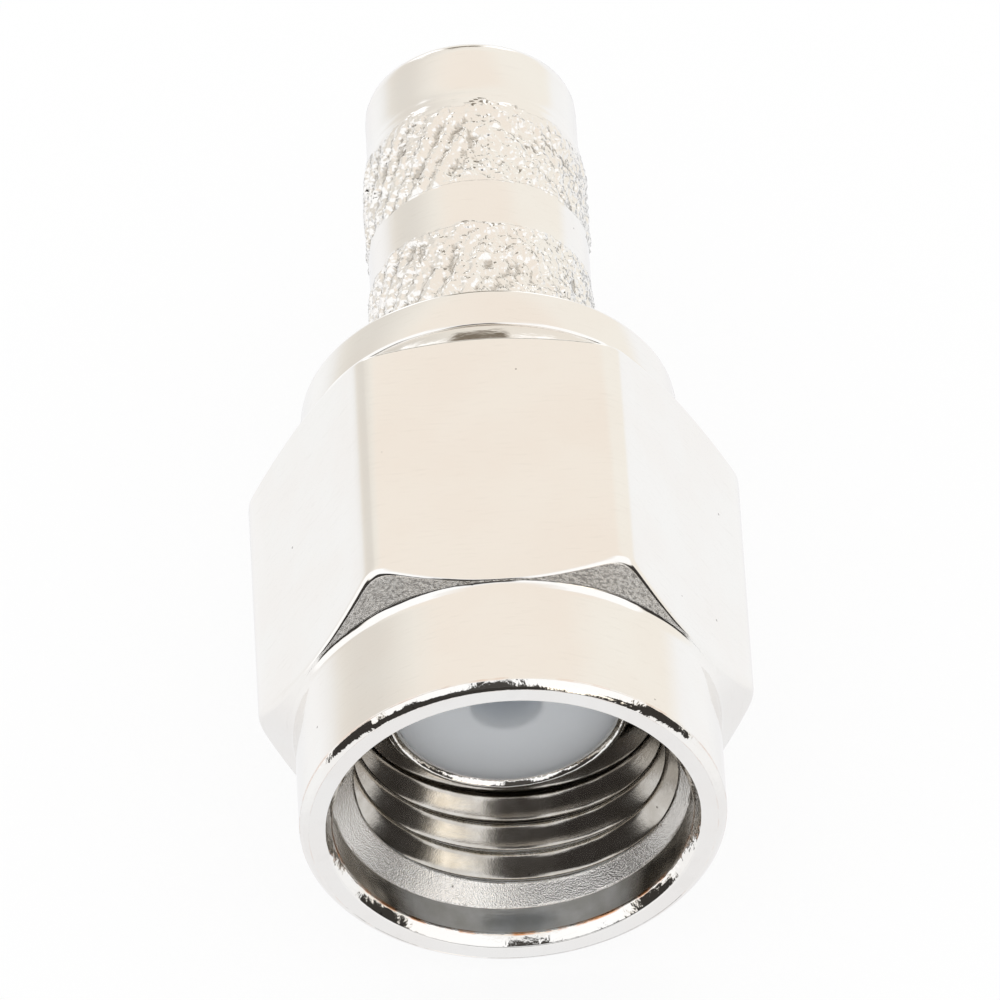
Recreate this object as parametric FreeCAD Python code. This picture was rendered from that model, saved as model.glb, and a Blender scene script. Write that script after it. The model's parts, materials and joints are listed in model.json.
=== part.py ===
import FreeCAD, Part
import math
import os

# Straight SMA crimp plug. Sizes are in millimetres and degrees.
# The plug lies on one flat of its hex nut. Its axis is the Y axis: the mouth of the nut faces -Y and the
# crimp stem points to +Y. The origin is on the axis, in the plane of the contact sleeve's front face, which
# is the plane where the plug meets its socket.

# Coupling nut, outside
HEX_ACROSS_FLATS = 8.0
HEX_CORNER_DIAMETER = 9.04          # the corners are turned down to this
NUT_LENGTH = 9.05
NUT_FRONT_DIAMETER = 7.76
NUT_FRONT_LENGTH = 2.37             # from the mouth to the foot of the hex shoulder
FRONT_SHOULDER_ANGLE = 54.5         # hex shoulder, from the axis
REAR_CHAMFER_ANGLE = 62.0           # chamfer on the hex's rear corners, from the axis
NUT_TAPER_DIAMETER = 7.9            # where that chamfer meets the taper behind it
NUT_TAPER_LENGTH = 0.72
NUT_REAR_DIAMETER = 7.04            # where the taper ends
MOUTH_CHAMFER_WIDTH = 0.14
MOUTH_CHAMFER_LENGTH = 0.2

# Coupling nut, inside
MOUTH_DEPTH = 2.8                   # from the mouth to the sleeve's face
COUNTERBORE_DIAMETER = 6.54
COUNTERBORE_DEPTH = 0.82
COUNTERBORE_CHAMFER = 0.165
THREAD_MAJOR_DIAMETER = 6.35        # 1/4-36 UNS
THREAD_MINOR_DIAMETER = 5.65
THREAD_LENGTH = 3.1                 # from the lead-in cone's end to the relief
THREAD_RELIEF_LENGTH = 0.5
THREAD_RELIEF_CLEARANCE = 0.05

# Retaining ring
RING_INNER_DIAMETER = 5.1
RING_OUTER_DIAMETER = 6.8
RING_WIDTH = 0.5
RING_GAP = 1.2                      # the split
RING_PLACE = 4.35                   # middle of the ring, behind the sleeve's face

# Plug body
SLEEVE_WALL = 0.245                 # round the insulator
SLEEVE_LENGTH = 2.0
SLEEVE_CHAMFER = 0.12
NECK_DIAMETER = 6.0
COLLAR_DIAMETER = 6.95
COLLAR_LENGTH = 0.87
COLLAR_EDGE_BREAK = 0.06
STEM_DIAMETER = 4.12
STEM_ROOT_LENGTH = 0.45
BAND_SPACING = 0.95                 # smooth land between the knurled bands
REAR_BAND_LENGTH = 2.0
FRONT_BAND_LENGTH = 2.6
STEM_LEAD_LENGTH = 0.45             # cone from the tip land up to the stem
STEM_TIP_DIAMETER = 3.96
STEM_TIP_LENGTH = 1.25
STEM_TIP_CHAMFER = 0.22
CABLE_BORE_DIAMETER = 3.0
CABLE_BORE_CHAMFER = 0.15
CABLE_BORE_LENGTH = 8.3             # through the stem, from its tip

# Knurl on the crimp stem: diamonds with a peak, side by side
KNURL_CREST_DIAMETER = 4.24
KNURL_DEPTH = 0.13
KNURL_COUNT = 32                    # diamonds round the stem
KNURL_ROW_LENGTH = 0.66

# Insulator
INSULATOR_DIAMETER = 4.1
INSULATOR_RECESS = 0.06             # behind the sleeve's face
CONTACT_BORE_DIAMETER = 1.3
CONTACT_POCKET_DIAMETER = 2.1       # room for the contact's crimp barrel
CONTACT_POCKET_LENGTH = 2.4

# Clearances
NUT_CLEARANCE = 0.05                # nut bore round the neck, radial
NUT_END_CLEARANCE = 0.08            # nut's rear face to the collar, nut pushed back
NUT_FLOAT = 0.2                     # how far the nut can move forward
RING_SIDE_CLEARANCE = 0.03          # ring in the nut's groove, each side
RING_OUTER_CLEARANCE = 0.05         # ring in the nut's groove, radial
RING_INNER_CLEARANCE = 0.1          # ring in the body's groove, radial
RING_END_CLEARANCE = 0.05           # ring in the body's groove, at both ends of the float

AXIS = FreeCAD.Vector(0, 1, 0)
ORIGIN = FreeCAD.Vector(0, 0, 0)

# Stations along the axis
MOUTH = -MOUTH_DEPTH
NUT_REAR = MOUTH + NUT_LENGTH
COLLAR_FRONT = NUT_REAR + NUT_END_CLEARANCE
COLLAR_REAR = COLLAR_FRONT + COLLAR_LENGTH
FRONT_BAND_START = COLLAR_REAR + STEM_ROOT_LENGTH
FRONT_BAND_END = FRONT_BAND_START + FRONT_BAND_LENGTH
REAR_BAND_START = FRONT_BAND_END + BAND_SPACING
REAR_BAND_END = REAR_BAND_START + REAR_BAND_LENGTH
TIP_LAND_START = REAR_BAND_END + STEM_LEAD_LENGTH
STEM_END = TIP_LAND_START + STEM_TIP_LENGTH
BORE_SHOULDER = STEM_END - CABLE_BORE_LENGTH


def turned(profile):
    """A solid of revolution round the axis, from (diameter, y) points."""
    points = [FreeCAD.Vector(diameter / 2, y, 0) for diameter, y in profile]
    face = Part.Face(Part.makePolygon(points + points[:1]))
    return face.revolve(ORIGIN, AXIS, 360)


def cylinder(diameter, start, end):
    """A plain cylinder on the axis, from one y station to another."""
    return Part.makeCylinder(diameter / 2, end - start, FreeCAD.Vector(0, start, 0), AXIS)


def hex_prism(across_flats, start, end):
    """A hexagonal bar on the axis, with one flat facing down."""
    corner = across_flats / math.sqrt(3)
    angles = [math.radians(60 * i) for i in range(7)]
    points = [FreeCAD.Vector(corner * math.cos(a), start, corner * math.sin(a)) for a in angles]
    return Part.Face(Part.makePolygon(points)).extrude(AXIS * (end - start))


def coupling_nut():
    """The hex nut: round front, hex with turned ends, inside thread at its minor diameter, ring groove."""
    face_diameter = NUT_FRONT_DIAMETER - 2 * MOUTH_CHAMFER_WIDTH
    shoulder_foot = MOUTH + NUT_FRONT_LENGTH
    shoulder_rise = (HEX_CORNER_DIAMETER - NUT_FRONT_DIAMETER) / 2
    shoulder_top = shoulder_foot + shoulder_rise / math.tan(math.radians(FRONT_SHOULDER_ANGLE))
    taper_start = NUT_REAR - NUT_TAPER_LENGTH
    chamfer_drop = (HEX_CORNER_DIAMETER - NUT_TAPER_DIAMETER) / 2
    chamfer_start = taper_start - chamfer_drop / math.tan(math.radians(REAR_CHAMFER_ANGLE))
    blank = turned([
        (0, MOUTH),
        (face_diameter, MOUTH),
        (NUT_FRONT_DIAMETER, MOUTH + MOUTH_CHAMFER_LENGTH),
        (NUT_FRONT_DIAMETER, shoulder_foot),
        (HEX_CORNER_DIAMETER, shoulder_top),
        (HEX_CORNER_DIAMETER, chamfer_start),
        (NUT_TAPER_DIAMETER, taper_start),
        (NUT_REAR_DIAMETER, NUT_REAR),
        (0, NUT_REAR),
    ])
    outside = blank.common(hex_prism(HEX_ACROSS_FLATS, MOUTH, NUT_REAR))

    counterbore_floor = MOUTH + COUNTERBORE_DEPTH
    thread_start = counterbore_floor + (COUNTERBORE_DIAMETER - THREAD_MINOR_DIAMETER) / 2
    thread_end = thread_start + THREAD_LENGTH
    relief_diameter = THREAD_MAJOR_DIAMETER + 2 * THREAD_RELIEF_CLEARANCE
    relief_end = thread_end + THREAD_RELIEF_LENGTH
    bore_diameter = NECK_DIAMETER + 2 * NUT_CLEARANCE
    groove_diameter = RING_OUTER_DIAMETER + 2 * RING_OUTER_CLEARANCE
    groove_half_width = RING_WIDTH / 2 + RING_SIDE_CLEARANCE
    inside = turned([
        (0, MOUTH),
        (COUNTERBORE_DIAMETER + 2 * COUNTERBORE_CHAMFER, MOUTH),
        (COUNTERBORE_DIAMETER, MOUTH + COUNTERBORE_CHAMFER),
        (COUNTERBORE_DIAMETER, counterbore_floor),
        (THREAD_MINOR_DIAMETER, thread_start),
        (THREAD_MINOR_DIAMETER, thread_end),
        (relief_diameter, thread_end),
        (relief_diameter, relief_end),
        (bore_diameter, relief_end),
        (bore_diameter, RING_PLACE - groove_half_width),
        (groove_diameter, RING_PLACE - groove_half_width),
        (groove_diameter, RING_PLACE + groove_half_width),
        (bore_diameter, RING_PLACE + groove_half_width),
        (bore_diameter, NUT_REAR),
        (0, NUT_REAR),
    ])
    return outside.cut(inside)


def retaining_ring():
    """The split ring, with its gap on top."""
    start = RING_PLACE - RING_WIDTH / 2
    end = RING_PLACE + RING_WIDTH / 2
    ring = cylinder(RING_OUTER_DIAMETER, start, end).cut(cylinder(RING_INNER_DIAMETER, start, end))
    corner = FreeCAD.Vector(-RING_GAP / 2, start, 0)
    gap = Part.makeBox(RING_GAP, RING_WIDTH, RING_OUTER_DIAMETER, corner)
    return ring.cut(gap)


def insulator():
    """The white core: it fills the body's bore from the front face to the bore's shoulder."""
    front = INSULATOR_RECESS
    pocket_start = BORE_SHOULDER - CONTACT_POCKET_LENGTH
    core = cylinder(INSULATOR_DIAMETER, front, BORE_SHOULDER)
    bore = cylinder(CONTACT_BORE_DIAMETER, front, BORE_SHOULDER)
    pocket = cylinder(CONTACT_POCKET_DIAMETER, pocket_start, BORE_SHOULDER)
    return core.cut(bore).cut(pocket)


def knurled_band(start, length):
    """One knurled band of the stem: peaks and valleys alternate round it and from half row to half row."""
    half_rows = 2 * max(1, round(length / KNURL_ROW_LENGTH))
    places = 2 * KNURL_COUNT
    crest = KNURL_CREST_DIAMETER / 2
    valley = crest - KNURL_DEPTH

    def point(row, place):
        radius = crest if (row + place) % 2 == 0 else valley
        angle = 2 * math.pi * place / places
        return FreeCAD.Vector(radius * math.cos(angle), start + length * row / half_rows, radius * math.sin(angle))

    faces = []
    for row in range(half_rows):
        for place in range(places):
            a = point(row, place)
            b = point(row, place + 1)
            c = point(row + 1, place + 1)
            d = point(row + 1, place)
            # Each cell is split along its two valleys, so that the edge follows the groove.
            if (row + place) % 2 == 0:
                triangles = [(a, b, d), (b, c, d)]
            else:
                triangles = [(a, b, c), (a, c, d)]
            faces += [Part.Face(Part.makePolygon(list(t) + [t[0]])) for t in triangles]
    for row in (0, half_rows):
        ring = [point(row, place) for place in range(places)]
        faces.append(Part.Face(Part.makePolygon(ring + ring[:1])))
    shell = Part.Shell(faces)
    shell.sewShape()
    return Part.Solid(shell)


def plug_body():
    """The turned body: sleeve, neck with the ring groove, collar and crimp stem, bored through."""
    sleeve_diameter = INSULATOR_DIAMETER + 2 * SLEEVE_WALL
    groove_diameter = RING_INNER_DIAMETER - 2 * RING_INNER_CLEARANCE
    groove_start = RING_PLACE - RING_WIDTH / 2 - RING_END_CLEARANCE - NUT_FLOAT
    groove_end = RING_PLACE + RING_WIDTH / 2 + RING_END_CLEARANCE
    front = turned([
        (0, 0),
        (sleeve_diameter - 2 * SLEEVE_CHAMFER, 0),
        (sleeve_diameter, SLEEVE_CHAMFER),
        (sleeve_diameter, SLEEVE_LENGTH),
        (NECK_DIAMETER, SLEEVE_LENGTH),
        (NECK_DIAMETER, groove_start),
        (groove_diameter, groove_start),
        (groove_diameter, groove_end),
        (NECK_DIAMETER, groove_end),
        (NECK_DIAMETER, COLLAR_FRONT),
        (COLLAR_DIAMETER - 2 * COLLAR_EDGE_BREAK, COLLAR_FRONT),
        (COLLAR_DIAMETER, COLLAR_FRONT + COLLAR_EDGE_BREAK),
        (COLLAR_DIAMETER, COLLAR_REAR - COLLAR_EDGE_BREAK),
        (COLLAR_DIAMETER - 2 * COLLAR_EDGE_BREAK, COLLAR_REAR),
        (STEM_DIAMETER, COLLAR_REAR),
        (STEM_DIAMETER, FRONT_BAND_START),
        (0, FRONT_BAND_START),
    ])
    tip = turned([
        (0, REAR_BAND_END),
        (STEM_DIAMETER, REAR_BAND_END),
        (STEM_TIP_DIAMETER, TIP_LAND_START),
        (STEM_TIP_DIAMETER, STEM_END - STEM_TIP_CHAMFER),
        (STEM_TIP_DIAMETER - 2 * STEM_TIP_CHAMFER, STEM_END),
        (0, STEM_END),
    ])
    outside = front.multiFuse([
        knurled_band(FRONT_BAND_START, FRONT_BAND_LENGTH),
        cylinder(STEM_DIAMETER, FRONT_BAND_END, REAR_BAND_START),
        knurled_band(REAR_BAND_START, REAR_BAND_LENGTH),
        tip,
    ])
    inside = turned([
        (0, 0),
        (INSULATOR_DIAMETER, 0),
        (INSULATOR_DIAMETER, BORE_SHOULDER),
        (CABLE_BORE_DIAMETER, BORE_SHOULDER),
        (CABLE_BORE_DIAMETER, STEM_END - CABLE_BORE_CHAMFER),
        (CABLE_BORE_DIAMETER + 2 * CABLE_BORE_CHAMFER, STEM_END),
        (0, STEM_END),
    ])
    return outside.cut(inside)


NODES = {
    "coupling_nut": coupling_nut,
    "retaining_ring": retaining_ring,
    "insulator": insulator,
    "plug_body": plug_body,
}

os.makedirs("parts", exist_ok=True)
for name, make in NODES.items():
    shape = make()
    shape.exportStep(f"parts/{name}.step")
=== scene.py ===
import bmesh
import bpy
import json
import math
from mathutils import Matrix, Vector, noise


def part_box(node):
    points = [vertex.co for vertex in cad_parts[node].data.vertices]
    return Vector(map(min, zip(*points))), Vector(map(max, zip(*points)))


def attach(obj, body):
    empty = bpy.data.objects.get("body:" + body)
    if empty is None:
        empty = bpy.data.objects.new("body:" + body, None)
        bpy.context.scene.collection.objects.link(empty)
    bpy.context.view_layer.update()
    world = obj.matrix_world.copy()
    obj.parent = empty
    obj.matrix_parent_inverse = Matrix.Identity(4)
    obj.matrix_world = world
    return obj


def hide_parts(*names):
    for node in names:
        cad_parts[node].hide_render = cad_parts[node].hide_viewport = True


bl_info = {
    "name": "Crimp plug",
    "version": (1, 0, 0),
    "blender": (4, 5, 0),
    "location": "View3D > Sidebar > Crimp plug",
    "description": "Dresses a straight coaxial crimp plug: nut, body, insulator and retaining ring",
    "category": "Object",
}

MM = 0.001
FULL_TURN = 2 * math.pi
WELD = 1e-8                 # points nearer than this are one point

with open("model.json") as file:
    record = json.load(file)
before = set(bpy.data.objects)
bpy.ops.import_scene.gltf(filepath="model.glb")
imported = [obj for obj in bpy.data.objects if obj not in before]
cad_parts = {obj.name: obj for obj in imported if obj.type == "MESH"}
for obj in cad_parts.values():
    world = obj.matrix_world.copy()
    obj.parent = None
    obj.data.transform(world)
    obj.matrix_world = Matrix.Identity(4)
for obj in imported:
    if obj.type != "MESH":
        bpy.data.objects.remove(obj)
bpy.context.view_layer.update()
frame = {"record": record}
NUT_LOW, NUT_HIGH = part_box("coupling_nut")
_, BODY_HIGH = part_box("plug_body")
INSULATOR_LOW, INSULATOR_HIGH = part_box("insulator")
RING_LOW, RING_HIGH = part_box("retaining_ring")
MOUNTS = {mount["name"]: mount for mount in frame["record"]["mounts"]}


def length(name, description, default):
    """A size that a user can change, given in millimetres."""
    return bpy.props.FloatProperty(
        name=name, description=description, default=default * MM, min=0.0,
        unit="LENGTH", subtype="DISTANCE", precision=5)


def colour(name, description, default):
    """A surface colour that a user can change, given as a hex value."""
    return bpy.props.FloatVectorProperty(
        name=name, description=description, default=linear(default), min=0.0, max=1.0,
        size=4, subtype="COLOR")


def linear(hex_colour):
    """An sRGB hex colour as linear red, green, blue and alpha."""
    channels = [int(hex_colour[i:i + 2], 16) / 255 for i in (1, 3, 5)]
    return tuple(c / 12.92 if c <= 0.04045 else ((c + 0.055) / 1.055) ** 2.4 for c in channels) + (1.0,)


class NutSizes(bpy.types.PropertyGroup):
    """Sizes of the coupling nut that its box doesn't give."""
    front_diameter: length("Front diameter", "Round front of the nut", 7.76)
    front_length: length("Front length", "From the mouth to the foot of the hex shoulder", 2.37)
    foot_length: length("Foot length", "Polished hollow in front of the shoulder, along the axis", 0.17)
    foot_rise: length("Foot rise", "How far that hollow climbs before the shoulder proper", 0.07)
    taper_diameter: length("Taper diameter", "Where the rear corner chamfer meets the taper behind it", 7.9)
    taper_length: length("Taper length", "Taper at the nut's rear", 0.72)
    rear_diameter: length("Rear diameter", "Where the taper ends", 7.04)
    chamfer_width: length("Mouth chamfer width", "Outer chamfer of the mouth, radial", 0.165)
    chamfer_length: length("Mouth chamfer length", "Outer chamfer of the mouth, along the axis", 0.15)
    counterbore_diameter: length("Counterbore diameter", "Plain bore in front of the thread", 6.54)
    counterbore_depth: length("Counterbore depth", "Depth of the plain bore", 0.82)
    rim_width: length("Mouth rim width", "Inner chamfer of the mouth, radial", 0.145)
    rim_length: length("Mouth rim length", "Inner chamfer of the mouth, along the axis", 0.2)
    thread_major: length("Thread major diameter", "Diameter at the thread's roots", 6.35)
    thread_minor: length("Thread minor diameter", "Diameter at the thread's crests", 5.65)
    thread_pitch: length("Thread pitch", "Advance of the thread for one turn", 25.4 / 36)
    thread_length: length("Thread length", "From the lead-in cone to the relief", 3.1)
    relief_length: length("Relief length", "Undercut behind the thread", 0.5)
    relief_diameter: length("Relief diameter", "Diameter of the undercut", 6.45)
    bore_diameter: length("Rear bore diameter", "Bore that runs round the body's neck", 6.1)
    groove_diameter: length("Ring groove diameter", "Groove for the retaining ring", 6.9)
    groove_width: length("Ring groove width", "Width of that groove", 0.56)
    edge: length("Edge break", "How far each turned edge is rounded", 0.03)
    hex_edge: length("Hex edge", "How softly the flats turn into the corners", 0.04)
    shoulder_edge: length("Shoulder edge", "Polished rounding between a flat's middle and the shoulder", 0.10)
    corner_edge: length("Corner edge", "The same rounding at the hex's corners", 0.16)


class BodySizes(bpy.types.PropertyGroup):
    """Sizes of the plug body that its box doesn't give."""
    sleeve_wall: length("Sleeve wall", "Contact sleeve round the insulator", 0.245)
    sleeve_length: length("Sleeve length", "From the sleeve's face to the neck", 2.0)
    sleeve_chamfer: length("Sleeve chamfer", "Chamfer round the sleeve's face", 0.08)
    rim_width: length("Rim width", "Chamfer inside the sleeve's face, radial", 0.11)
    rim_length: length("Rim length", "Chamfer inside the sleeve's face, along the axis", 0.14)
    neck_diameter: length("Neck diameter", "Neck inside the nut", 6.0)
    groove_diameter: length("Groove diameter", "Ring groove in the neck", 4.9)
    groove_start: length("Groove start", "Front of the ring groove, from the sleeve's face", 3.85)
    groove_end: length("Groove end", "Rear of the ring groove, from the sleeve's face", 4.65)
    nut_gap: length("Nut gap", "From the nut's rear face to the collar", 0.08)
    collar_length: length("Collar length", "Collar behind the nut", 0.87)
    collar_edge: length("Collar edge", "How far the collar's edges are rounded", 0.09)
    stem_diameter: length("Stem diameter", "Smooth lands of the crimp stem", 4.12)
    root_length: length("Root length", "Smooth root between the collar and the knurl", 0.45)
    front_band: length("Front band", "Knurled band beside the collar", 2.6)
    spacing: length("Band spacing", "Smooth land between the knurled bands", 0.95)
    rear_band: length("Rear band", "Knurled band near the tip", 2.0)
    lead_length: length("Lead length", "Cone from the tip land up to the stem", 0.45)
    overrun: length("Knurl overrun", "How far the rear band runs out onto that cone", 0.22)
    tip_diameter: length("Tip diameter", "Smooth land at the tip", 3.96)
    tip_edge: length("Tip edge", "How far the tip's end is rounded", 0.3)
    knurl_crest: length("Knurl crest diameter", "Diameter over the knurl", 4.24)
    knurl_depth: length("Knurl depth", "Depth of the grooves between the ridges", 0.12)
    knurl_row: length("Knurl row", "Stretch of the stem over which the ridges lean once", 0.66)
    knurl_count: bpy.props.IntProperty(
        name="Knurl count", description="Ridges round the stem", default=32, min=8)
    edge: length("Edge break", "How far each turned edge is rounded", 0.03)


class InsulatorSizes(bpy.types.PropertyGroup):
    """Sizes of the insulator that its box doesn't give."""
    pocket_diameter: length("Pocket diameter", "Room behind the contact hole", 2.1)
    pocket_length: length("Pocket length", "Depth of that room", 2.4)
    edge: length("Edge break", "How far the insulator's edges are rounded", 0.04)
    hole_edge: length("Hole edge", "How far the contact hole's rim is rounded", 0.09)


class RingSizes(bpy.types.PropertyGroup):
    """Sizes of the retaining ring that its box doesn't give."""
    inner_diameter: length("Inner diameter", "Inside of the ring", 5.1)
    gap: length("Gap", "Split of the ring", 1.2)
    edge: length("Edge break", "How far the ring's edges are rounded", 0.05)


class PlugColours(bpy.types.PropertyGroup):
    """Colours of the plug's surfaces and of the studio."""
    nickel: colour("Nickel", "Bright nickel plating", "#F2F1EF")
    # Painted shade too: the bores, the knurl's grooves and the shoulder's top are darkened with this colour,
    # besides real thin plating.
    dim_nickel_and_shade: colour("Dim nickel", "Thin, dull plating inside the bores", "#8E8575")
    brass: colour("Brass", "Brass that shows where the plating is worn", "#D08A45")
    # Also painted shade: it darkens only the shoulder's top, standing in for the dark room that it mirrors.
    grime_and_shade: colour("Grime", "Dirt that the rough tool marks hold", "#4A453E")
    pits: colour("Pits", "Bottom of the few pits in the plating", "#5A534B")
    ptfe: colour("PTFE", "Milky insulator", "#E6EBF1")
    bronze: colour("Bronze", "Spring bronze of the retaining ring", "#B98B5C")
    white: colour("White", "Floor, tent and even light", "#FFFFFF")


SETTINGS = {
    "nut": NutSizes,
    "body": BodySizes,
    "insulator": InsulatorSizes,
    "ring": RingSizes,
    "colours": PlugColours,
}


def settings(kind):
    """The values of one group of sizes, as the sidebar holds them."""
    return getattr(bpy.context.scene, "crimp_plug_" + kind)


# Turned shapes --------------------------------------------

CORNER_STEPS = 4            # facets in each rounded corner
CURVE_STEPS = 6             # facets in each freely curved stretch
CUT_LIMIT = 0.45            # most that a rounded corner takes of the stretch beside it
FACE_PULL = 60              # how firmly the large faces hold the shading of the small ones beside them

# How each stretch of a turned surface was left: how wavy it is, how dull, and how thin its plating is. That
# last number also paints shade: it darkens the bores, the thread, the knurl's grooves and the shoulder's top.
# The mesh carries these numbers, and the plating's material reads them.
FINISHES = {
    "bright": (0.0, 0.1, 0.0),      # turned and polished
    "chamfer": (1.0, 0.05, 0.0),    # polished by hand, so that it isn't quite even
    "taper": (0.3, 0.05, 0.0),      # less so
    "tip": (0.0, 0.42, 0.0),        # satin, in front of the stem's tip
    "shoulder": (0.3, 1.0, 0.25),   # where the tool chattered; dark speckle painted there as shade
    "knurl": (0.3, 0.5, 0.0),       # tops of the knurl
    "groove": (0.3, 0.7, 0.45),     # bottoms of the knurl, darkened as painted shade
    "lead_in": (0.15, 0.66, 0.0),   # cone in front of the thread
    "thread": (0.15, 0.5, 0.6),
    "crest": (0.0, 0.6, 1.0),       # crests of the thread, as the drill left them, darkest of all as painted shade
    "bore": (0.0, 0.45, 0.6),       # other places inside, which little plating reached, darkened as painted shade too
}


def corner(radius, y, cut=0.0, ahead="bright", worn=0.0):
    """One corner of a section.

    It has its place, how far it is cut back, the finish ahead of it and how much brass shows on its edge.
    """
    return radius, y, cut, FINISHES[ahead], worn


def curve_point(start, middle, end, t):
    """The point at a share t of the smooth curve from start towards middle and on to end."""
    return Vector(start) * (1 - t) ** 2 + Vector(middle) * 2 * t * (1 - t) + Vector(end) * t ** 2


def curve(start, middle, end, ahead):
    """Corners along such a curve, without its last point."""
    points = [curve_point(start, middle, end, step / CURVE_STEPS) for step in range(CURVE_STEPS)]
    return [corner(point.x, point.y, ahead=ahead) for point in points]


def outline(corners):
    """Rounds a closed section's corners, and gives each point's radius, place along the axis and finish."""
    points = []
    for i, (radius, y, cut, ahead, worn) in enumerate(corners):
        behind = corners[i - 1]
        if not cut:
            points.append((radius, y, ahead + (0.0,)))
            continue
        here = Vector((radius, y))
        back = Vector(behind[:2]) - here
        onward = Vector(corners[(i + 1) % len(corners)][:2]) - here
        near = min(cut, CUT_LIMIT * back.length)
        far = min(cut, CUT_LIMIT * onward.length)
        start = here + back.normalized() * near
        end = here + onward.normalized() * far
        for step in range(CORNER_STEPS + 1):
            t = step / CORNER_STEPS
            point = curve_point(start, here, end, t)
            finish = behind[3] if t < 0.5 else ahead
            points.append((point.x, point.y, finish + ((worn if 0 < t < 1 else 0.0),)))
    return points


def lathe(name, outline_at, angles, closed=True):
    """Sweeps a section, which may change with the angle, round the Y axis; an open sweep gets end faces."""
    columns = [outline_at(angle) for angle in angles]
    count = len(columns[0])
    vertices = []
    finishes = []
    for angle, column in zip(angles, columns):
        cosine = math.cos(angle)
        sine = math.sin(angle)
        for radius, y, finish in column:
            vertices.append((radius * cosine, y, radius * sine))
            finishes.extend(finish)
    faces = []
    for i in range(len(columns) - 1):
        for j in range(count):
            k = (j + 1) % count
            faces.append((i * count + j, i * count + k, (i + 1) * count + k, (i + 1) * count + j))
    if not closed:
        last = (len(columns) - 1) * count
        faces.append(tuple(range(count)))
        faces.append(tuple(last + j for j in range(count)))
    mesh = bpy.data.meshes.new(name)
    mesh.from_pydata(vertices, [], faces)
    layer = mesh.attributes.new("finish", "FLOAT_COLOR", "POINT")
    layer.data.foreach_set("color", finishes)
    shape = bmesh.new()
    shape.from_mesh(mesh)
    bmesh.ops.remove_doubles(shape, verts=shape.verts, dist=WELD)
    bmesh.ops.recalc_face_normals(shape, faces=shape.faces)
    shape.to_mesh(mesh)
    shape.free()
    mesh.shade_smooth()
    piece = bpy.data.objects.new(name, mesh)
    bpy.context.scene.collection.objects.link(piece)
    weighted = piece.modifiers.new("flat faces stay flat", "WEIGHTED_NORMAL")
    weighted.weight = FACE_PULL
    return piece


def finish_piece(piece, body, node, material):
    """Puts a piece on its body in place of its CAD node, with its material."""
    piece.data.materials.append(material)
    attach(piece, body)
    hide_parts(node)


# Coupling nut ---------------------------------------------

SECTOR = math.pi / 3
SHOULDER_ANGLE = math.radians(54.5)  # hex shoulder, from the axis
CHATTER_AND_SHADE_REACH = math.radians(58)    # how far from the top the tool chattered on the shoulder, and where its dark speckle paints shade
CHAMFER_ANGLE = math.radians(62)    # chamfer on the hex's rear corners, from the axis
THREAD_ROWS = 20                    # rows of points in one pitch
THREAD_CREST = 0.10                 # share of the pitch that each crest takes
THREAD_ROOT = 0.10                  # share of the pitch that each root takes
THREAD_PHASE = 0.22                 # where the first crest stands, in pitches
THREAD_SOFTNESS = 0.05              # rounding of crests and roots, as a share of a flank
CREST_DEPTH = 0.03 * MM             # how far down from a crest the drilled bore still shows
FLAT_STEPS = 8                      # columns from the middle of a flat to where its edge begins to turn
EDGE_STEPS = 17                     # columns from there to the middle of the corner
EDGE_REACH = math.radians(3)        # how far before its edge a flat has the finer columns
FOOT_BEND = 0.15                    # how near its end the shoulder's foot turns up, in foot lengths
CONE_ROWS = (0.08, 0.5, 0.94)       # rows of points up the shoulder, as shares of its cone
EDGE_SHARE = 0.6                    # most that the shoulder's rounded edge takes of its reach and cone
CHAMFER_BREAK = (0.53, 0.28)        # where the mouth's outer chamfer bends, in its widths and lengths
RIM_WEAR = 1.4                      # how much brass shows along the mouth's inner edge, 1 being plain
FACE_WEAR = 0.2                     # the same between the mouth's face and its outer chamfer
FRONT_WEAR = 0.4                    # the same between that chamfer and the round front


def thread_radius(sizes, turns):
    """Radius of the inside thread at a place across its pitch, 0 being the middle of a crest."""
    across = abs((turns + 0.5) % 1.0 - 0.5)
    crest_end = THREAD_CREST / 2
    root_start = 0.5 - THREAD_ROOT / 2
    rise = (across - crest_end) / (root_start - crest_end)
    above_crest = math.log1p(math.exp(rise / THREAD_SOFTNESS))
    above_root = math.log1p(math.exp((rise - 1) / THREAD_SOFTNESS))
    eased = THREAD_SOFTNESS * (above_crest - above_root)
    return (sizes.thread_minor + (sizes.thread_major - sizes.thread_minor) * eased) / 2


def hex_radius(angle, across_flats, corner_diameter, softness):
    """Radius of the hex at an angle: six flats, with the corners turned down and a soft edge between."""
    # Flats face straight up and down, so the first one is a quarter turn from the X axis.
    off_flat = (angle - math.pi / 2 + SECTOR / 2) % SECTOR - SECTOR / 2
    flat = across_flats / 2 / math.cos(off_flat)
    turned = corner_diameter / 2
    overlap = (flat - turned) / softness
    return flat - softness * math.log1p(math.exp(overlap))


def thread_rows(sizes, angle, start, end):
    """Corners from the thread's end to its start, in rows along the helix, so that the ridges stay smooth."""
    row_height = sizes.thread_pitch / THREAD_ROWS
    row_count = math.ceil((end - start) / row_height) + THREAD_ROWS + 1
    turn = angle / FULL_TURN
    rows = []
    for row in range(row_count):
        y = end - (row - THREAD_ROWS * (1 - turn)) * row_height
        y = min(end, max(start, y))
        cone = sizes.counterbore_diameter / 2 - (y - start)     # 45 degrees
        threaded = thread_radius(sizes, (y - NUT_LOW.y) / sizes.thread_pitch + turn - THREAD_PHASE)
        on_crest = threaded - sizes.thread_minor / 2 < CREST_DEPTH
        ahead = "lead_in" if cone > threaded else "crest" if on_crest else "thread"
        rows.append(corner(max(cone, threaded), y, ahead=ahead))
    return rows


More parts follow.
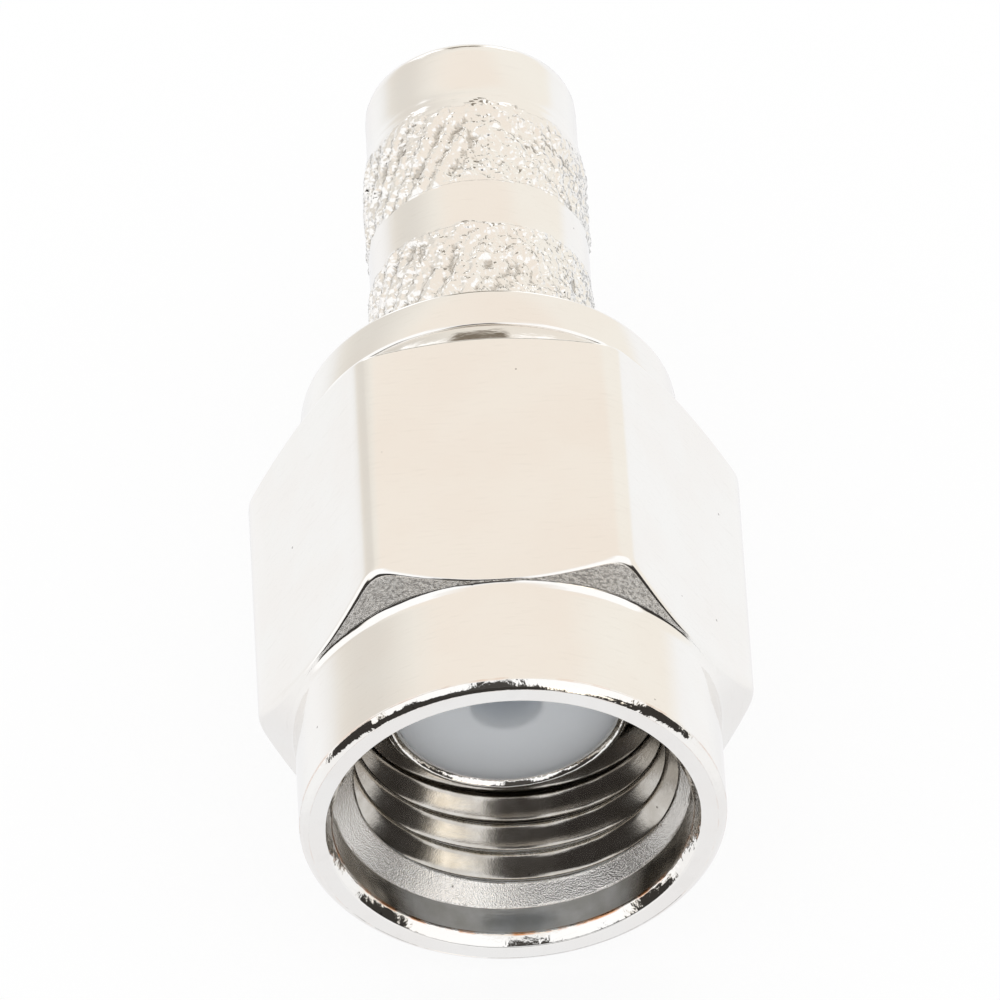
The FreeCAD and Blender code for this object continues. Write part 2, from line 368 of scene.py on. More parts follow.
def shoulder(sizes, rise, mouth, finish):
    """Corners of the hex shoulder: a polished hollow at its foot, its cone, and a polished edge."""
    front = sizes.front_diameter / 2
    foot = mouth + sizes.front_length
    slope = 1 / math.tan(SHOULDER_ANGLE)
    cone_start = Vector((front + sizes.foot_rise, foot + sizes.foot_rise * slope))
    top = Vector((rise, foot + (rise - front) * slope))
    bend = (front, foot - FOOT_BEND * sizes.foot_length)
    corners = curve((front, foot - sizes.foot_length), bend, cone_start, "bright")
    cone = top - cone_start
    flat_rise = (NUT_HIGH.z - NUT_LOW.z) / 2
    toward_corner = max(0.0, (rise - flat_rise) / (NUT_HIGH.x - flat_rise))
    reach = sizes.shoulder_edge + (sizes.corner_edge - sizes.shoulder_edge) * toward_corner
    edge_start = top - cone.normalized() * min(EDGE_SHARE * reach, EDGE_SHARE * cone.length)
    corners.append(corner(*cone_start))
    corners += [corner(*cone_start.lerp(edge_start, share), ahead=finish) for share in CONE_ROWS]
    corners += curve(edge_start, top, (rise, top.y + reach), "bright")
    corners.append(corner(rise, top.y + reach))
    return corners


def nut_outline(sizes, angle):
    """The nut's section at an angle: from its rear bore forward through the mouth, then back outside."""
    mouth = NUT_LOW.y
    rear = NUT_HIGH.y
    edge = sizes.edge
    ring_place = (RING_LOW.y + RING_HIGH.y) / 2
    groove_front = ring_place - sizes.groove_width / 2
    groove_rear = ring_place + sizes.groove_width / 2
    bore = sizes.bore_diameter / 2
    groove = sizes.groove_diameter / 2
    relief = sizes.relief_diameter / 2
    counterbore = sizes.counterbore_diameter / 2
    cone_start = mouth + sizes.counterbore_depth
    thread_end = cone_start + (sizes.counterbore_diameter - sizes.thread_minor) / 2 + sizes.thread_length
    relief_end = thread_end + sizes.relief_length
    front = sizes.front_diameter / 2
    bend_width, bend_length = CHAMFER_BREAK
    taper = sizes.taper_diameter / 2
    taper_start = rear - sizes.taper_length
    rise = hex_radius(angle, NUT_HIGH.z - NUT_LOW.z, NUT_HIGH.x - NUT_LOW.x, sizes.hex_edge)
    chamfer_start = taper_start - (rise - taper) / math.tan(CHAMFER_ANGLE)
    corners = [
        corner(bore, rear, edge, "bore"),
        corner(bore, groove_rear, edge, "bore"),
        corner(groove, groove_rear, edge, "bore"),
        corner(groove, groove_front, edge, "bore"),
        corner(bore, groove_front, edge, "bore"),
        corner(bore, relief_end, edge, "bore"),
        corner(relief, relief_end, edge, "bore"),
        corner(relief, thread_end, ahead="thread"),
    ]
    corners += thread_rows(sizes, angle, cone_start, thread_end)
    corners += [
        corner(counterbore, cone_start - edge, ahead="bore"),
        corner(counterbore, mouth + sizes.rim_length, 1.5 * edge, "chamfer", worn=RIM_WEAR),
        corner(counterbore + sizes.rim_width, mouth, edge),
        corner(front - sizes.chamfer_width, mouth, 0.5 * edge, "chamfer", worn=FACE_WEAR),
        corner(
            front - bend_width * sizes.chamfer_width, mouth + bend_length * sizes.chamfer_length,
            edge, "chamfer"),
        corner(front, mouth + sizes.chamfer_length, edge, worn=FRONT_WEAR),
    ]
    # Only the shoulder's top is satin, with dark speckle painted on it as shade.
    chattered_and_shaded = abs(math.remainder(angle - math.pi / 2, FULL_TURN)) < CHATTER_AND_SHADE_REACH
    corners += shoulder(sizes, rise, mouth, "shoulder" if chattered_and_shaded else "taper")
    corners += [
        corner(rise, (mouth + sizes.front_length + chamfer_start) / 2),
        corner(rise, chamfer_start, 2 * edge),
        corner(taper, taper_start, edge, "taper"),
        corner(sizes.rear_diameter / 2, rear, edge),
    ]
    return outline(corners)


def nut_angles():
    """Angles for the nut's columns, finer where a flat turns into a corner."""
    edge = math.acos((NUT_HIGH.z - NUT_LOW.z) / (NUT_HIGH.x - NUT_LOW.x)) - EDGE_REACH
    half = [edge * step / FLAT_STEPS for step in range(FLAT_STEPS)]
    half += [edge + (SECTOR / 2 - edge) * step / EDGE_STEPS for step in range(EDGE_STEPS)]
    within = [-angle for angle in reversed(half[1:])] + half + [SECTOR / 2]
    flats = [math.pi / 2 + side * SECTOR for side in range(6)]
    angles = sorted((flat + angle) % FULL_TURN for flat in flats for angle in within)
    return angles + [angles[0] + FULL_TURN]


class PLUG_OT_coupling_nut(bpy.types.Operator):
    """Makes the hex coupling nut with its inside thread"""
    bl_idname = "plug.coupling_nut"
    bl_label = "Coupling nut"

    def execute(self, context):
        sizes = settings("nut")
        plating = nickel_plating("nickel plate on milled and turned brass", knurled=False)
        piece = lathe("nut_turned", lambda angle: nut_outline(sizes, angle), nut_angles())
        finish_piece(piece, "nut", "coupling_nut", plating)
        return {"FINISHED"}


# Plug body ------------------------------------------------

BODY_COLUMNS = 480                  # close enough together for the knurl
RIM_BREAK = (0.5, 0.4)              # where the sleeve's inner chamfer bends, in its widths and lengths
SLEEVE_WEAR = 1.0                   # how much brass shows along the sleeve's inner edge, 1 being plain
TIP_CHAMFER = 4                     # chamfer of the bore at the tip, in edge breaks
LEAD_EASE = 0.45                    # how far the foot of the lead cone is rounded, as a share of the cone
KNURL_STEP = 0.045 * MM             # rows of points along the knurled bands
KNURL_LEAN = 0.85                   # how many ridges the lean passes over in one row
SHADED_GROOVE_HEIGHT = 0.2                  # height under which the grooves hold dull metal, darkened as painted shade
KNURL_CRISP = math.radians(170)     # the side on which the ridges stayed crisp, from +X towards +Z
CRISPNESS = (0.15, 0.75)            # how crisp the ridges are on the whole, and how much more on that side
BEAD_SIZE_MM = 0.17                 # beads into which the ridges were crushed elsewhere
BEAD_SLOPE = 1.5                    # how steeply the beads rise
BEAD_LOSS = 0.2                     # how much of the beads is gone where the ridges are crisp
FADE_INSET = 0.6                    # how far in from its ends a band begins, in fades
FADE_SWING = 0.9                    # how far those beginnings wander round the stem, in fades
FADE_WANDER = (3.1, 1.3)            # how often they wander, and how much oftener at the rear
FRONT_FADE = 0.06 * MM              # how gradually a band begins
LAND_FADE = 0.10 * MM               # how gradually the front band ends
CONE_FADE = 0.35 * MM               # how gradually the rear band runs out on the lead cone

# Heights in the knurl, in depths of it.
GROUND = 0.4                        # halfway up the ridges, and the foot of the beads
RIDGES = 0.7                        # from the foot of a crisp ridge to its top
BEADS = 0.5                         # from the foot of a bead to its top
LOWEST = -0.15                      # bottom of the deepest dents

# Unevenness of the knurl: how often it swings in a millimetre, and how far.
DRIFT = (1.1, 0.5)                  # sideways swing of the ridges, in ridges
RAGGEDNESS = (1.3, 0.8)             # of the border between crisp and crushed
SKEW = (4, 0.3)                     # of the beads' places, in beads
DENTS = (2.3, 0.5)                  # in depths of the knurl
BURRS = (9, 0.22)                   # the same


def swing(place, unevenness):
    """How far one kind of unevenness swings at a place that is given in millimetres."""
    per_mm, reach = unevenness
    return reach * noise.noise(place * per_mm)


def knurl_height(sizes, start, angle, y):
    """Height of the knurl, in depths of it: crisp ridges on one side, crushed into beads elsewhere."""
    place = Vector((math.cos(angle), 0, math.sin(angle))) * (sizes.stem_diameter / 2 / MM)
    place.y = y / MM
    around = sizes.knurl_count * angle / FULL_TURN
    along = (y - start) / sizes.knurl_row
    ridge = 0.5 + 0.5 * math.cos(FULL_TURN * (around + KNURL_LEAN * along + swing(place, DRIFT)))
    overall, one_sided = CRISPNESS
    crisp = overall + one_sided * math.cos(angle - KNURL_CRISP) + swing(place, RAGGEDNESS)
    crisp = min(1.0, max(0.0, crisp))
    skew_per_mm, skew_reach = SKEW
    skew = Vector((skew_reach, skew_reach, skew_reach)) * noise.noise(place * skew_per_mm)
    distances, _ = noise.voronoi(place / BEAD_SIZE_MM + skew)
    beads = min(1.0, BEAD_SLOPE * (distances[1] - distances[0]))
    height = GROUND + RIDGES * crisp * (ridge - 0.5) + BEADS * beads * (1 - BEAD_LOSS * crisp)
    height += swing(place, DENTS) + swing(place, BURRS)
    return min(1.0, max(LOWEST, height))


def stem_radius(sizes, y, lead):
    """Radius of the plain stem: its lands, then the cone that narrows from lead on to the tip."""
    stem = sizes.stem_diameter / 2
    tip = sizes.tip_diameter / 2
    return stem - (stem - tip) * max(0.0, y - lead) / sizes.lead_length


def knurled_band(sizes, angle, start, band, lead, rear_fade, after="bright"):
    """Corners along one knurled band, which begins and ends unevenly, with the finish after it."""
    end = start + band
    crest = (sizes.knurl_crest - sizes.stem_diameter) / 2
    count = round(band / KNURL_STEP)
    often, oftener = FADE_WANDER
    wander = Vector((math.cos(angle), start / MM, math.sin(angle))) * often
    front_swing = FADE_SWING * noise.noise(wander)
    rear_swing = FADE_SWING * noise.noise(wander * oftener)
    rows = [corner(stem_radius(sizes, start, lead), start - KNURL_STEP / 2)]
    for row in range(count + 1):
        y = start + band * row / count
        front = (y - start) / FRONT_FADE - FADE_INSET - front_swing
        rear = (end - y) / rear_fade - FADE_INSET - rear_swing
        share = min(1.0, max(0.0, front)) * min(1.0, max(0.0, rear))
        height = knurl_height(sizes, start, angle, y)
        radius = stem_radius(sizes, y, lead) + (crest - sizes.knurl_depth * (1 - height)) * share
        finish = "bright" if not share else "knurl" if height > SHADED_GROOVE_HEIGHT else "groove"
        rows.append(corner(radius, y, ahead=finish))
    rows.append(corner(stem_radius(sizes, end, lead), end + KNURL_STEP / 2, ahead=after))
    return rows


def body_outline(sizes, angle):
    """The body's section at an angle: from the sleeve's face back outside, then forward in the bore."""
    bore = INSULATOR_HIGH.x
    cable_bore = MOUNTS["cable_bore"]["dims"]["r_mm"] * MM
    bore_end = INSULATOR_HIGH.y
    end = BODY_HIGH.y
    edge = sizes.edge
    sleeve = bore + sizes.sleeve_wall
    neck = sizes.neck_diameter / 2
    groove = sizes.groove_diameter / 2
    collar = BODY_HIGH.x
    stem = sizes.stem_diameter / 2
    tip = sizes.tip_diameter / 2
    collar_front = NUT_HIGH.y + sizes.nut_gap
    collar_rear = collar_front + sizes.collar_length
    front_band = collar_rear + sizes.root_length
    land = front_band + sizes.front_band
    rear_band = land + sizes.spacing
    lead = rear_band + sizes.rear_band
    tip_land = lead + sizes.lead_length
    rear_length = sizes.rear_band + sizes.overrun
    bend_width, bend_length = RIM_BREAK
    chamfer = TIP_CHAMFER * edge
    corners = [
        corner(bore, sizes.rim_length, edge, "chamfer", worn=SLEEVE_WEAR),
        corner(bore + bend_width * sizes.rim_width, bend_length * sizes.rim_length, edge, "chamfer"),
        corner(bore + sizes.rim_width, 0, edge, "chamfer"),
        corner(sleeve - sizes.sleeve_chamfer, 0, edge, "chamfer"),
        corner(sleeve, sizes.sleeve_chamfer, edge, "bore"),
        corner(sleeve, sizes.sleeve_length, edge, "bore"),
        corner(neck, sizes.sleeve_length, edge, "bore"),
        corner(neck, sizes.groove_start, edge, "bore"),
        corner(groove, sizes.groove_start, edge, "bore"),
        corner(groove, sizes.groove_end, edge, "bore"),
        corner(neck, sizes.groove_end, edge, "bore"),
        corner(neck, collar_front, edge),
        corner(collar, collar_front, sizes.collar_edge),
        corner(collar, collar_rear, sizes.collar_edge),
        corner(stem, collar_rear, 2 * edge),
        corner(stem, collar_rear + sizes.root_length / 2),
    ]
    corners += knurled_band(sizes, angle, front_band, sizes.front_band, lead, LAND_FADE)
    corners.append(corner(stem, (land + rear_band) / 2))
    corners += knurled_band(sizes, angle, rear_band, rear_length, lead, CONE_FADE, after="tip")
    corners += [
        corner(tip, tip_land, LEAD_EASE * sizes.lead_length, "tip"),
        corner(tip, end, sizes.tip_edge),
        corner(cable_bore + chamfer, end, edge),
        corner(cable_bore, end - chamfer, edge, "bore"),
        corner(cable_bore, bore_end, edge, "bore"),
        corner(bore, bore_end, edge, "bore"),
    ]
    return outline(corners)


class PLUG_OT_plug_body(bpy.types.Operator):
    """Makes the turned body with its knurled crimp stem"""
    bl_idname = "plug.plug_body"
    bl_label = "Plug body"

    def execute(self, context):
        sizes = settings("body")
        plating = nickel_plating("nickel plate on knurled brass", knurled=True)
        angles = [FULL_TURN * i / BODY_COLUMNS for i in range(BODY_COLUMNS + 1)]
        piece = lathe("body_turned", lambda angle: body_outline(sizes, angle), angles)
        finish_piece(piece, "body", "plug_body", plating)
        return {"FINISHED"}


# Insulator and retaining ring -----------------------------

ROUND_COLUMNS = 192                 # columns of the plain round pieces


class PLUG_OT_insulator(bpy.types.Operator):
    """Makes the insulator with its empty contact hole"""
    bl_idname = "plug.insulator"
    bl_label = "Insulator"

    def execute(self, context):
        sizes = settings("insulator")
        radius = INSULATOR_HIGH.x
        hole = MOUNTS["contact_bore"]["dims"]["r_mm"] * MM
        pocket = sizes.pocket_diameter / 2
        front = INSULATOR_LOW.y
        rear = INSULATOR_HIGH.y
        section = outline([
            corner(hole, front, sizes.hole_edge),
            corner(radius, front, sizes.edge),
            corner(radius, rear, sizes.edge),
            corner(pocket, rear, sizes.edge),
            corner(pocket, rear - sizes.pocket_length, sizes.edge),
            corner(hole, rear - sizes.pocket_length, sizes.edge),
        ])
        angles = [FULL_TURN * i / ROUND_COLUMNS for i in range(ROUND_COLUMNS + 1)]
        piece = lathe("insulator_turned", lambda angle: section, angles)
        finish_piece(piece, "body", "insulator", turned_ptfe())
        return {"FINISHED"}


class PLUG_OT_retaining_ring(bpy.types.Operator):
    """Makes the split ring that holds the nut on the body"""
    bl_idname = "plug.retaining_ring"
    bl_label = "Retaining ring"

    def execute(self, context):
        sizes = settings("ring")
        outer = RING_HIGH.x
        inner = sizes.inner_diameter / 2
        section = outline([
            corner(inner, RING_LOW.y, sizes.edge),
            corner(outer, RING_LOW.y, sizes.edge),
            corner(outer, RING_HIGH.y, sizes.edge),
            corner(inner, RING_HIGH.y, sizes.edge),
        ])
        half_gap = math.asin(sizes.gap / 2 / inner)
        start = math.pi / 2 + half_gap
        sweep = FULL_TURN - 2 * half_gap
        angles = [start + sweep * i / ROUND_COLUMNS for i in range(ROUND_COLUMNS + 1)]
        piece = lathe("ring_rolled", lambda angle: section, angles, closed=False)
        finish_piece(piece, "ring", "retaining_ring", rolled_bronze())
        return {"FINISHED"}


# Materials ------------------------------------------------

MIX_FIRST, MIX_SECOND, MIX_RESULT = 6, 7, 2     # sockets of a Mix node that mixes colours

# Noise in the plating: how far apart its features are in millimetres, its detail, and its stretch along X, Y
# and Z, where a small number draws it out. What the lathe left runs round the axis.
EVEN = (1.0, 1.0, 1.0)
NOISES = {
    "clouds": (1.5, 3.0, EVEN),
    "thin_plating_and_shade": (0.4, 4.0, EVEN),
    "streaks": (0.06, 2.0, (0.15, 1.0, 0.15)),
    "chips": (0.4, 2.0, EVEN),
    "grime_and_shade": (0.035, 3.0, (0.5, 1.0, 0.5)),
    "lines": (0.05, 2.0, (0.12, 1.0, 0.12)),    # of the lathe, coarser than real ones, to show
    "waves": (0.28, 3.0, EVEN),
    "grit": (0.026, 2.0, EVEN),
}
PIT_SPACING_MM = 0.75

# What tints the plating, each over those before it: how it comes in over its noise, the noise at which it
# starts and at which it is full, how strong it is at those two, and its colour.
TINTS = {
    "clouds": ("SMOOTHSTEP", 0.3, 0.7, 0.0, 0.035, "brass"),
    "thin_plating_and_shade": ("LINEAR", 0.3, 0.7, 0.7, 1.1, "dim_nickel_and_shade"),        # where the plating is thin, and painted shade in the bores, knurl grooves and shoulder top
    "streaks": ("SMOOTHSTEP", 0.55, 0.75, 0.0, 0.03, "dim_nickel_and_shade"),
    "chips": ("SMOOTHSTEP", 0.42, 0.65, 0.0, 0.6, "brass"),         # on worn edges
    "grime_and_shade": ("SMOOTHSTEP", 0.4, 0.7, 0.0, 0.55, "grime_and_shade"),          # dirt in the roughest tool marks, only on the shoulder's top: painted shade there
    "pits": ("SMOOTHSTEP", 0.04, 0.025, 0.0, 0.6, "pits"),          # some hundredths of a millimetre across
}

# Marks that need a dull surface: how dull it is where they start and where they are full.
DULLNESS = {"grime_and_shade": (0.8, 1.0), "grit": (0.45, 1.0)}
BEAD_DULLNESS = (0.45, 0.5)

# Heights of the bumps, in millimetres.
BUMPS = {"lines": 0.0011, "waves": 0.016, "grit": 0.032}
BEAD_BUMP = -0.022
BEAD_SPACING_MM = 0.11              # finer than the beads of the mesh
BEAD_SMOOTHNESS = 0.3

POLISHED, SATIN = 0.05, 0.26        # roughness of the brightest and of the dullest plating


def add(tree, kind, given=None):
    """Adds a node. What is given sets its options and sockets, or is the socket that one is linked to."""
    node = tree.nodes.new(kind)
    for name, value in (given or {}).items():
        if isinstance(name, str) and hasattr(node, name):
            setattr(node, name, value)
        elif isinstance(value, bpy.types.NodeSocket):
            tree.links.new(value, node.inputs[name])
        else:
            node.inputs[name].default_value = value
    return node


def new_material(name):
    """An empty node material and its surface shader."""
    material = bpy.data.materials.new(name)
    material.use_nodes = True
    tree = material.node_tree
    tree.nodes.clear()
    shader = add(tree, "ShaderNodeBsdfPrincipled")
    add(tree, "ShaderNodeOutputMaterial", {"Surface": shader.outputs["BSDF"]})
    return material, tree, shader


def per_metre(size_mm):
    """Scale of a pattern whose features are this many millimetres apart."""
    return 1 / (size_mm * MM)


def relief_of(tree, layers):
    """A bump from layers of (pattern, height in millimetres, share). A share of None means everywhere."""
    total = None
    for pattern, height_mm, share in layers:
        height = add(tree, "ShaderNodeMath", {
            "operation": "MULTIPLY", 0: pattern, 1: height_mm * MM}).outputs["Value"]
        if share is not None:
            height = add(tree, "ShaderNodeMath", {
                "operation": "MULTIPLY", 0: height, 1: share}).outputs["Value"]
        if total is not None:
            height = add(tree, "ShaderNodeMath", {"operation": "ADD", 0: total, 1: height}).outputs["Value"]
        total = height
    return add(tree, "ShaderNodeBump", {"Distance": 1.0, "Height": total}).outputs["Normal"]


def nickel_plating(name, knurled):
    """Bright nickel over brass: a warm mirror, with fine lathe lines, wavy chamfers and a darker inside that
    is thin plating and painted shade.
    """
    colours = settings("colours")
    material, tree, shader = new_material(name)
    place = add(tree, "ShaderNodeTexCoord").outputs["Object"]
    finish = add(tree, "ShaderNodeAttribute", {"attribute_name": "finish"})
    kinds = add(tree, "ShaderNodeSeparateXYZ", {"Vector": finish.outputs["Vector"]})
    # The third number is thin plating together with painted shade.
    wavy, dull, thin_and_shaded = (kinds.outputs[axis] for axis in "XYZ")

    marks = {}
    for mark, (size_mm, detail, stretch) in NOISES.items():
        drawn = add(tree, "ShaderNodeMapping", {"Scale": stretch, "Vector": place})
        marks[mark] = add(tree, "ShaderNodeTexNoise", {
            "Scale": per_metre(size_mm), "Detail": detail, "Vector": drawn.outputs["Vector"]}).outputs["Fac"]
    marks["pits"] = add(tree, "ShaderNodeTexVoronoi", {
        "Scale": per_metre(PIT_SPACING_MM), "Vector": place}).outputs["Distance"]

    # Where each mark goes; those that aren't named here go everywhere.
    where = {"thin_plating_and_shade": thin_and_shaded, "chips": finish.outputs["Alpha"], "waves": wavy}
    for mark, (start, full) in DULLNESS.items():
        where[mark] = add(tree, "ShaderNodeMapRange", {
            "interpolation_type": "SMOOTHSTEP", "From Min": start, "From Max": full,
            "Value": dull}).outputs["Result"]

    tone = colours.nickel
    for mark, (rise, start, full, faintest, strongest, tint) in TINTS.items():
        share = add(tree, "ShaderNodeMapRange", {
            "interpolation_type": rise, "From Min": start, "From Max": full,
            "To Min": faintest, "To Max": strongest, "Value": marks[mark]}).outputs["Result"]
        if mark in where:
            share = add(tree, "ShaderNodeMath", {
                "operation": "MULTIPLY", 0: where[mark], 1: share}).outputs["Value"]
        tone = add(tree, "ShaderNodeMix", {
            "data_type": "RGBA", "Factor": share,
            MIX_FIRST: tone, MIX_SECOND: getattr(colours, tint)}).outputs[MIX_RESULT]
    tree.links.new(tone, shader.inputs["Base Color"])
    shader.inputs["Metallic"].default_value = 1.0

    # Near mirror where it was polished, satin where the tool chattered.
    rough = add(tree, "ShaderNodeMapRange", {"To Min": POLISHED, "To Max": SATIN, "Value": dull})
    tree.links.new(rough.outputs["Result"], shader.inputs["Roughness"])

    layers = [(marks[mark], height_mm, where.get(mark)) for mark, height_mm in BUMPS.items()]
    if knurled:
        start, full = BEAD_DULLNESS
        beads = add(tree, "ShaderNodeTexVoronoi", {
            "feature": "SMOOTH_F1", "Scale": per_metre(BEAD_SPACING_MM), "Smoothness": BEAD_SMOOTHNESS,
            "Vector": place}).outputs["Distance"]
        rough_enough = add(tree, "ShaderNodeMapRange", {
            "interpolation_type": "SMOOTHSTEP", "From Min": start, "From Max": full,
            "Value": dull}).outputs["Result"]
        layers.append((beads, BEAD_BUMP, rough_enough))
    tree.links.new(relief_of(tree, layers), shader.inputs["Normal"])
    return material


PTFE_GRAIN_MM = 0.12
PTFE_BUMP = 0.01 * MM
PTFE_GLOW = 2.0 * MM                # how far light goes in PTFE


def turned_ptfe():
    """White PTFE, turned: milky and waxy, with a faint grain from the tool."""
    material, tree, shader = new_material("PTFE rod turned")
    shader.inputs["Base Color"].default_value = settings("colours").ptfe
    shader.inputs["Roughness"].default_value = 0.42
    shader.inputs["IOR"].default_value = 1.35
    shader.inputs["Subsurface Weight"].default_value = 0.7
    shader.inputs["Subsurface Radius"].default_value = (1.0, 1.0, 1.0)
    shader.inputs["Subsurface Scale"].default_value = PTFE_GLOW
    place = add(tree, "ShaderNodeTexCoord").outputs["Object"]
    grain = add(tree, "ShaderNodeTexNoise", {
        "Scale": per_metre(PTFE_GRAIN_MM), "Detail": 2.0, "Vector": place}).outputs["Fac"]
    bump = add(tree, "ShaderNodeBump", {"Strength": 0.15, "Distance": PTFE_BUMP, "Height": grain})
    tree.links.new(bump.outputs["Normal"], shader.inputs["Normal"])
    return material


BRONZE_GRAIN_MM = 0.1


def rolled_bronze():
    """Spring bronze, rolled: warm metal with a satin grain."""
    material, tree, shader = new_material("phosphor bronze rolled")
    shader.inputs["Base Color"].default_value = settings("colours").bronze
    shader.inputs["Metallic"].default_value = 1.0
    place = add(tree, "ShaderNodeTexCoord").outputs["Object"]
    grain = add(tree, "ShaderNodeTexNoise", {
        "Scale": per_metre(BRONZE_GRAIN_MM), "Detail": 3.0, "Vector": place}).outputs["Fac"]
    rough = add(tree, "ShaderNodeMapRange", {"To Min": 0.22, "To Max": 0.38, "Value": grain})
    tree.links.new(rough.outputs["Result"], shader.inputs["Roughness"])
    return material


# Studio ---------------------------------------------------

CAMERA_DISTANCE = 0.3                   # from the target, in metres
CAMERA_AZIMUTH = math.radians(-0.634)   # from -Y towards +X
CAMERA_ELEVATION = math.radians(48.21)
CAMERA_ROLL = math.radians(-2.675)
CAMERA_TARGET = Vector((0.077, 1.59, 3.926)) * MM
CAMERA_NEAR = 0.01
CAMERA_FAR = 10.0
VIEW_WIDTH = 18.089 * MM                # what the view takes in from side to side, at the target
SENSOR_WIDTH = 36.0
FLOOR_SIZE = 0.6                        # in metres
GLOW_SHARE = 0.88                       # the floor's share of plain white; the rest takes the plug's shadow


def make_camera():
    """The camera, looking down into the mouth of the nut."""
    back = Vector((
        math.sin(CAMERA_AZIMUTH) * math.cos(CAMERA_ELEVATION),
        -math.cos(CAMERA_AZIMUTH) * math.cos(CAMERA_ELEVATION),
        math.sin(CAMERA_ELEVATION),
    ))
    camera = bpy.data.cameras.new("camera")
    camera.sensor_width = SENSOR_WIDTH
    camera.lens = SENSOR_WIDTH * CAMERA_DISTANCE / VIEW_WIDTH
    camera.clip_start = CAMERA_NEAR
    camera.clip_end = CAMERA_FAR
    holder = bpy.data.objects.new("camera", camera)
    bpy.context.scene.collection.objects.link(holder)
    turn = back.to_track_quat("Z", "Y").to_matrix() @ Matrix.Rotation(CAMERA_ROLL, 3, "Z")
    holder.matrix_world = Matrix.Translation(CAMERA_TARGET + back * CAMERA_DISTANCE) @ turn.to_4x4()
    bpy.context.scene.camera = holder


def mirrored(tree):
    """One for rays that metal or glass sends on, and nothing for all others."""
    path = add(tree, "ShaderNodeLightPath")
    return add(tree, "ShaderNodeMath", {
        "operation": "MAXIMUM", 0: path.outputs["Is Glossy Ray"],
        1: path.outputs["Is Transmission Ray"]}).outputs["Value"]


def make_floor():
    """The white table that the plug lies on, with its shadow kept faint."""
    half = FLOOR_SIZE / 2
    level = NUT_LOW.z
    mesh = bpy.data.meshes.new("floor")
    corners = [(-half, -half, level), (half, -half, level), (half, half, level), (-half, half, level)]
    mesh.from_pydata(corners, [], [(0, 1, 2, 3)])
    floor = bpy.data.objects.new("floor", mesh)
    bpy.context.scene.collection.objects.link(floor)
    material = bpy.data.materials.new("white card")
    material.use_nodes = True
    tree = material.node_tree
    tree.nodes.clear()
    white = settings("colours").white
    card = add(tree, "ShaderNodeBsdfDiffuse", {"Color": white})
    glow = add(tree, "ShaderNodeEmission", {"Color": white, "Strength": 1.0})
    path = add(tree, "ShaderNodeLightPath")
    share = add(tree, "ShaderNodeMath", {
        "operation": "MULTIPLY", 0: path.outputs["Is Camera Ray"], 1: GLOW_SHARE})
    mix = add(tree, "ShaderNodeMixShader", {
        0: share.outputs["Value"], 1: card.outputs["BSDF"], 2: glow.outputs["Emission"]})
    # In the metal the tent itself goes on below the horizon, so that the table has no hard edge there.
    clear = add(tree, "ShaderNodeBsdfTransparent")
    seen = add(tree, "ShaderNodeMixShader", {
        0: mirrored(tree), 1: mix.outputs["Shader"], 2: clear.outputs["BSDF"]})
    add(tree, "ShaderNodeOutputMaterial", {"Surface": seen.outputs["Shader"]})
    mesh.materials.append(material)


ALL_ROUND = (-200, 200)

# What the plug mirrors: name, azimuth from straight in front of the mouth towards +X, elevation, soft edge,
# all in degrees, then colour and strength. Each one covers those before it.
TENT = [
    ("wall", ALL_ROUND, (-95, 95), 8, "#FFFAF1", 1.0),
    ("ceiling", ALL_ROUND, (36, 95), 14, "#FEF5EA", 1.0),
    ("table", ALL_ROUND, (-95, -8), 14, "#FFFFFF", 1.02),
    ("table in the plug's shade", ALL_ROUND, (-95, -38), 20, "#F8F8F9", 1.0),
    ("left back screen", (-166, -108), (-10, 27), 32, "#EAE5DD", 1.0),
    ("bright wall behind, to the right", (157, 171), (-4, 14), 3, "#FFFFFF", 1.4),
    ("bright wall behind, to the left", (-168, -151), (-4, 14), 3, "#FFFFFF", 1.4),
    ("doorway behind, to the right", (172, 200), (7, 23), 3, "#857B6D", 1.0),
    ("doorway behind, to the left", (-200, -169), (7, 23), 3, "#857B6D", 1.0),
    ("glow over the boxes", (-114, 112), (32, 66), 24, "#FFFFFF", 1.08),
    ("left soft box", (-114, -20), (20, 58), 4, "#FFFFFF", 1.15),
    ("left soft box, its foot", (-116, -80), (-14, 26), 6, "#FFFFFF", 1.15),
    ("right soft box", (10, 112), (20, 58), 4, "#FFFFFF", 1.15),
    ("dark of the room", (-78, 78), (-10, 18), 3, "#3A3734", 1.0),
    ("dark curtain, to the left", (-52, -8), (-1, 32), 4, "#3A3734", 1.0),
    ("gap in the dark", (13, 32), (2, 24), 6, "#FFF6E6", 1.75),
    ("lens", (-22, 9), (16, 57), 7, "#4A4744", 1.0),
]


def between(tree, value, low, high, soft):
    """One between low and high, in degrees, with soft edges, and nothing elsewhere."""
    half = math.radians(soft) / 2
    low = math.radians(low)
    high = math.radians(high)
    rise, fall = (
        add(tree, "ShaderNodeMapRange", {
            "interpolation_type": "SMOOTHSTEP", "From Min": start, "From Max": full,
            "Value": value}).outputs["Result"]
        for start, full in ((low - half, low + half), (high + half, high - half)))
    return add(tree, "ShaderNodeMath", {"operation": "MULTIPLY", 0: rise, 1: fall}).outputs["Value"]


